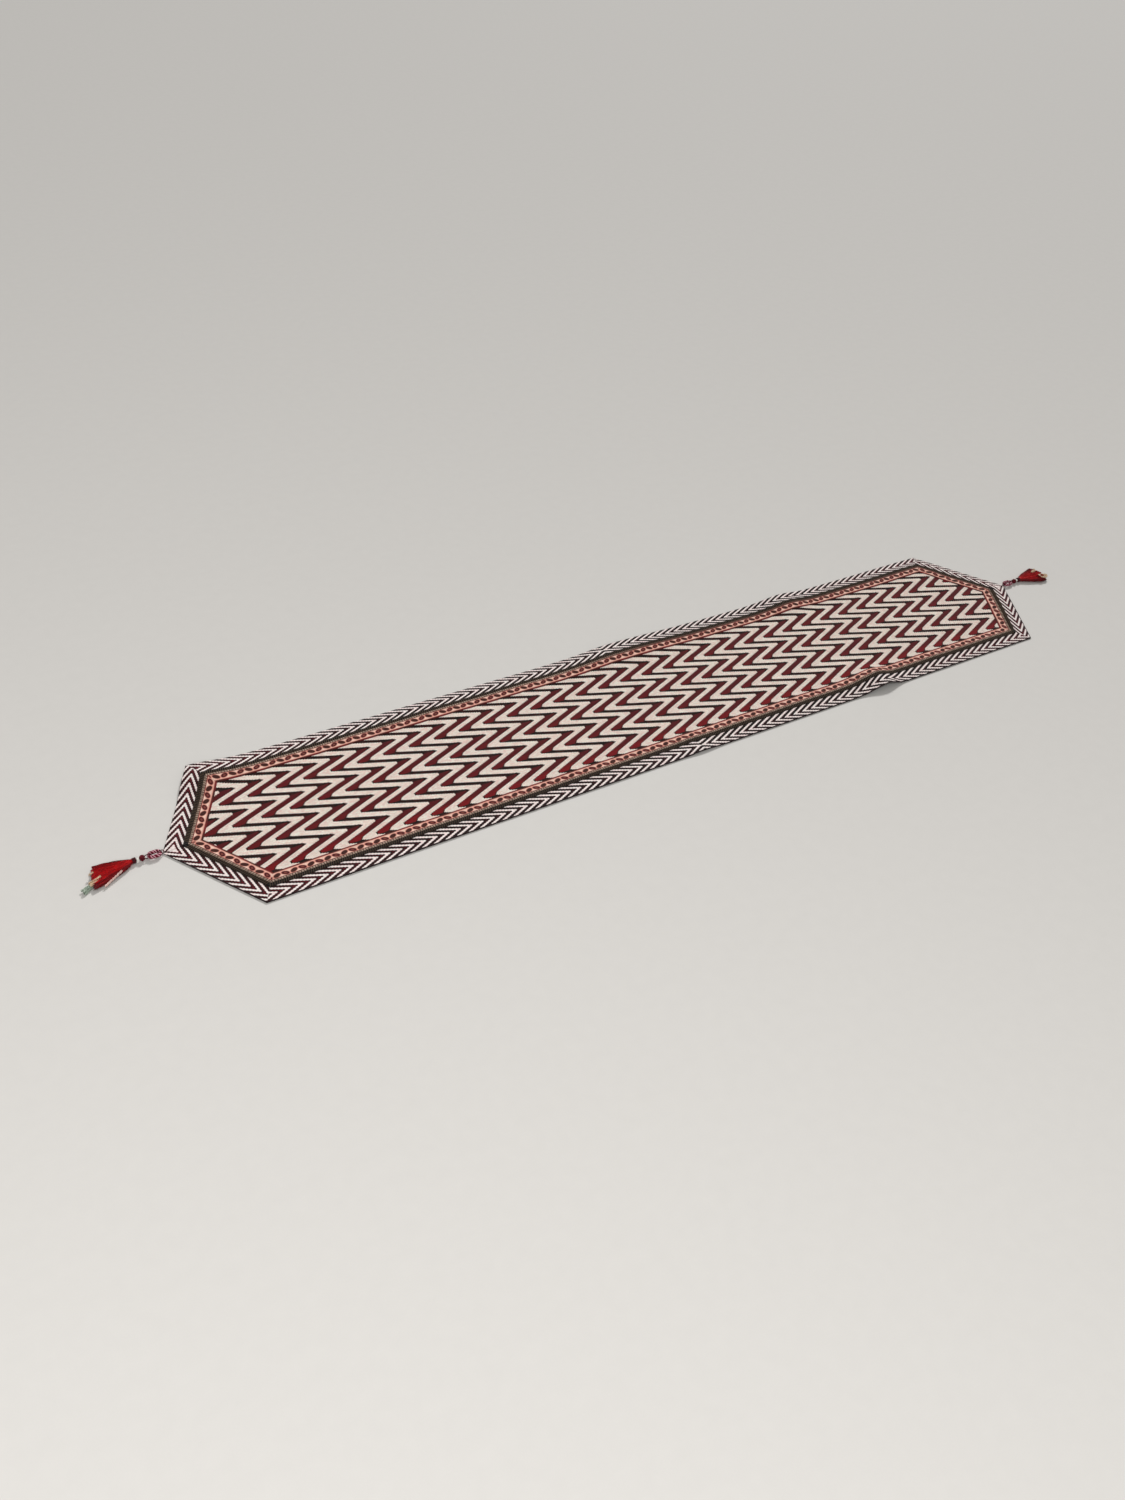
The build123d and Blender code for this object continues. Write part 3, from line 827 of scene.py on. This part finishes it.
def woven_knot(sx, x, leads, bights, half_long, middle_radius, yarn_radius):
    """One yarn woven round the axis as a closed braid: it goes leads times round while it swings bights
    times along the axis, and its radius goes in and out twice as often, so it goes over and under."""
    t = np.linspace(0, 2 * np.pi, 260, endpoint=False)
    swing = np.sin(bights * t)
    radius = middle_radius * np.sqrt(1 - (0.72 * swing) ** 2) + 0.00045 * np.cos(2 * bights * t + 0.6)
    centre = np.array([sx * x, 0, loop_z])
    out = np.stack([sx * half_long * swing, radius * np.cos(leads * t), radius * np.sin(leads * t)], -1)
    path = centre + out
    return tube_arrays(path[None], yarn_radius, unit(out)[None], 8, ring=True)


def round_form(sx, stations, radii, sides):
    """A closed turned form along the tassel's axis: circles of the given radii at the given x."""
    stations = np.array(stations)
    path = np.stack([sx * stations, stations * 0, loop_z + stations * 0], -1)
    return tube_arrays(path[None], np.array(radii)[None], upright, sides)


def coil(sx, start, end, turns, radius, thread_radius):
    """Thread wound round the axis: a helix from start to end, with the given number of turns."""
    t = np.linspace(0, 1, int(turns * 18))
    angle = 2 * np.pi * turns * t
    out = np.stack([0 * t, np.cos(angle), np.sin(angle)], -1)
    path = radius * out + np.stack([sx * (start + (end - start) * t), 0 * t, loop_z + 0 * t], -1)
    return tube_arrays(path[None], thread_radius, out[None], 6)


# %% Strands
def strands(rng, count, root, tip, root_radius, tip_half, sag, waviness, stations=12, flare=1.0, slant=0.0,
            bow=0.0):
    """Paths of many strands. Each starts at random in a small disc at the root and ends at random in a flat
    ellipse at the tip, cut off along slant * y + bow * y^2. Between them it follows
    root + (tip - root) times share^flare, with a small wave of its own."""
    t = np.linspace(0, 1, stations)
    spot = np.sqrt(rng.random(count)) * root_radius
    angle = rng.random(count) * 2 * np.pi
    start = np.stack([0 * spot, spot * np.cos(angle), spot * np.sin(angle)], -1) + root
    wide = np.sqrt(rng.random(count))
    reach = tip_half[0] * wide * np.cos(angle)
    ends = np.stack([rng.normal(0, 0.0012, count) - slant * reach - bow * reach ** 2, reach,
                     tip_half[1] * wide * np.sin(angle)], -1) + tip
    share = np.stack([t, t ** flare, t ** flare], -1)[None]
    paths = start[:, None] * (1 - share) + ends[:, None] * share
    size, turns, phase = (rng.normal(0, waviness, (count, 1)), rng.uniform(1.2, 2.6, (count, 1)),
                          rng.uniform(0, 6, (count, 1)))
    paths[..., 1] += size * np.sin(np.pi * t * turns + phase) * t
    paths[..., 2] += rng.normal(0, waviness * 0.5, (count, 1)) * np.sin(2.2 * t) - sag * t ** 2
    return paths


def tuft(rng, count, root, tip, root_radius, tip_half, waviness, sag=0.0004):
    """A tuft of straight strands of nine stations, for the ends of the skirts."""
    return strands(rng, count, np.array(root), np.array(tip), root_radius, tip_half, sag, waviness, 9)


def set_down(paths, sx):
    """Paths drawn about the right tassel's axis, moved to end sx and its height, and kept above the table."""
    placed = paths * [sx, 1, 1] + [0, 0, loop_z]
    placed[..., 2] = np.clip(placed[..., 2], 0.0007, None)
    return placed


# %% Tassels
knot_core = [0.9197, 0.9204, 0.9229, 0.9254, 0.9261]
for end_name, sx in (("left", -1), ("right", 1)):
    is_left = sx < 0
    rng = np.random.default_rng(11 if is_left else 23)
    loop_body, tassel_body = f"{end_name}_loop_body", f"{end_name}_tassel_body"
    ring = make_piece(f"{end_name}_ring_wine", *twisted_ring(sx, (0, 1, 3), 0.00155, 0.00132),
                      wine_strand, loop_body, "twisted_cord")
    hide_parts(f"{end_name}_loop")
    make_piece(f"{end_name}_ring_pink", *twisted_ring(sx, (2, 4), 0.00158, 0.00122),
               pink_strand, loop_body, "twisted_cord")
    knot = make_piece(f"{end_name}_woven_knot", *joined(
        woven_knot(sx, 0.9226, 3, 4, 0.0029, 0.0033, 0.00125),
        round_form(sx, knot_core, [0.0016, 0.0024, 0.0031, 0.0024, 0.0016], 14)),
        knot_yarn, tassel_body, "knot_yarn")
    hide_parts(f"{end_name}_knot")
    wrap = make_piece(f"{end_name}_neck_wrap", *joined(
        coil(sx, 0.9322, 0.9374, 9, 0.0042, 0.00036),
        round_form(sx, [0.9318, 0.9321, 0.9375, 0.9378], [0.0030, 0.0042, 0.0042, 0.0030], 16)),
        binding_thread, tassel_body, "binding_thread")
    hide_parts(f"{end_name}_neck_binding")

    # The skirt: outer and shorter inner strands, the ones at both sides in a darker red that is painted
    # shade.
    drop, slant, bow = (0.0090, 0.22, 3.0) if is_left else (0.0015, 0.0, 11.0)
    root, tip = np.array([0.9379, 0, 0]), np.array([0.9985, -drop, -0.0002])
    cut = {"flare": 0.68, "slant": slant, "bow": bow}
    outer = strands(rng, 880, root, tip, 0.0032, (0.0255, 0.0036), 0.0006, 0.0017, **cut)
    inner = strands(rng, 260, root, tip - [0.0125, 0, 0], 0.0034, (0.0190, 0.0034), 0.0004, 0.0012, **cut)
    skirt = set_down(np.concatenate([outer, inner]), sx)
    thick = (np.interp(np.linspace(0, 1, 12), [0, 0.1, 1], [0.00040, 0.00042, 0.00036])
             * rng.uniform(0.8, 1.2, (len(skirt), 1)))
    far_side = np.abs(skirt[:, -1, 1] + drop) + rng.normal(0, 0.002, len(skirt)) > 0.0175
    middle_strands = tube_arrays(skirt[~far_side], thick[~far_side], upright, 4)
    shaded_side_strands = tube_arrays(skirt[far_side], thick[far_side], upright, 4)
    middle = make_piece(f"{end_name}_wool_skirt", *middle_strands, red_wool, tassel_body, "red_strands")
    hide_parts(f"{end_name}_skirt")
    make_piece(f"{end_name}_skirt_shaded_sides", *shaded_side_strands, red_wool_painted_shade, tassel_body, "red_strands")

    # The plait: three strands that wind round a straight line.
    t = np.linspace(0, 1, 26)
    turn_angle = 2 * np.pi * (2.2 * t + np.arange(3)[:, None] / 3)
    winding = np.stack([0 * turn_angle, 0.0011 * np.cos(turn_angle), 0.0010 * np.sin(turn_angle)], -1)
    plait_start = [0.9570, -0.0150, 0.0066] if is_left else [0.9560, -0.0100, 0.0050]
    plait_way = np.array([0.0310, -0.0180, -0.0030] if is_left else [0.0280, -0.0085, -0.0022])
    plait = (plait_start + plait_way * t[:, None] + winding) * [sx, 1, 1]
    pale = make_piece(f"{end_name}_pale_plait", *tube_arrays(plait, 0.00080, upright, 7),
                      blush_yarn, tassel_body, "pale_strands")
    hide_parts(f"{end_name}_pale_strands")

    # The tufts at the skirt's end, and on the right a ring of cream yarn, five rounds side by side.
    if is_left:
        cream = np.concatenate([
            tuft(rng, 46, [0.988, -0.0135, 0.002], [1.0065, -0.0220, 0.0], 0.0022, (0.0045, 0.0022), 0.0009),
            tuft(rng, 16, [0.995, -0.0015, 0.0036], [1.0025, -0.0030, 0.0030], 0.0012, (0.0020, 0.0008),
                 0.0004, sag=0.0)])
        grey = tuft(rng, 44, [0.998, -0.0200, -0.001], [1.0180, -0.0305, -0.0016], 0.0024, (0.0048, 0.0020),
                    0.0009)
        make_piece("left_grey_tuft", *tube_arrays(set_down(grey, sx), 0.00060, upright, 5),
                   grey_yarn, tassel_body, "tuft_yarn")
        yarn_ring = []
    else:
        cream = tuft(rng, 12, [0.9800, 0.0060, 0.0036], [0.9960, 0.0100, 0.0030], 0.0014, (0.0040, 0.0010),
                     0.0008, sag=0.0)
        angle, layer = np.linspace(0, 2 * np.pi, 40, endpoint=False), np.arange(-2, 3)[:, None]
        size = 1 + 0.10 * layer
        ring_line = np.stack([0.9925 + 0.0095 * size * np.cos(angle), -0.0145 + 0.0062 * size * np.sin(angle),
                              0.0088 + 0.0006 * layer * np.cos(2 * angle) - 0.0018 * np.cos(angle)], -1)
        yarn_ring = [tube_arrays(ring_line * [sx, 1, 1], 0.00062, upright, 6, ring=True)]
    cream_arrays = joined(tube_arrays(set_down(cream, sx), 0.00060, upright, 5), *yarn_ring)
    tail = make_piece(f"{end_name}_cream_tuft", *cream_arrays, cream_yarn, tassel_body, "tuft_yarn")
    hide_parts(f"{end_name}_yarn_tuft")

# %% [markdown]
# ## The small pieces kept from the frame
# The beads, the strung cord and the sewn thread rings already have the right shape. They only need better
# finishes: a glossy white glass for the beads, and the yarns and threads above for the rest.


# %% Bead and kept pieces
def cloudy_material(name, colour, wander, patch, roughness, coat=0.0):
    """A plain surface with a faint cloud in its colour and, if coat is set, a clear coat."""
    material = bpy.data.materials.new(name)
    material.use_nodes = True
    shader = material.node_tree.nodes["Principled BSDF"]
    fibre = place_group(material.node_tree, yarn_fibre, Dye=colour, Wander=wander, Patch=patch)
    feed(shader.inputs["Base Color"], fibre["Colour"])
    shader.inputs["Roughness"].default_value = roughness
    shader.inputs["Coat Weight"].default_value = coat
    return material


white_glass = cloudy_material("white_glass_bead", dye(240, 236, 228), 0.03, 0.10, 0.18, coat=0.6)
for end_name in ("left", "right"):
    for part, material in (("bead", white_glass), ("tack_thread", sewing_thread),
                           ("shank_thread", sewing_thread), ("core_cord", knot_yarn)):
        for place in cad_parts[f"{end_name}_{part}"].material_slots:
            place.material = material
        print(end_name, part, "has", material.name)

# %% [markdown]
# ## Floor and lights
# The floor is plain, pale and matt. The main light is a low sun from behind on the right, whose shadows have
# a slightly soft edge. A weaker lamp at the front left fills them, and fades towards the right end.

# %% Floor and lights
size = 40.0
mesh = bpy.data.meshes.new("pale_floor")
mesh.from_pydata([(-size, -size, 0), (size, -size, 0), (size, size, 0), (-size, size, 0)], [], [(0, 1, 2, 3)])
mesh.materials.append(cloudy_material("pale_floor", dye(214, 211, 206), 0.015, 0.02, 0.9))
floor = bpy.data.objects.new("pale_floor", mesh)
bpy.context.scene.collection.objects.link(floor)


def lamp(name, kind, **settings):
    """A lamp of the given kind, with its settings, linked into the scene."""
    made = bpy.data.objects.new(name, bpy.data.lights.new(name, kind))
    for setting, value in settings.items():
        setattr(made.data, setting, value)
    bpy.context.scene.collection.objects.link(made)
    return made


window = lamp("window_light", "SUN", energy=2.35, angle=0.16)
window.rotation_euler = Vector((0.62, 0.66, 0.62)).to_track_quat("Z", "Y").to_euler()
fill = lamp("fill_lamp", "AREA", shape="SQUARE", size=1.6, energy=48)
fill.location, fill_target = Vector((-1.8, -2.2, 2.2)), Vector((-0.6, 0, 0))
fill.rotation_euler = (fill_target - fill.location).to_track_quat("-Z", "Y").to_euler()
room = bpy.data.worlds.new("pale_room")
room.use_nodes = True
room.node_tree.nodes["Background"].inputs["Color"].default_value = (0.82, 0.81, 0.80, 1)
room.node_tree.nodes["Background"].inputs["Strength"].default_value = 0.33
bpy.context.scene.world = room
print("floor, sun, fill lamp and pale room")
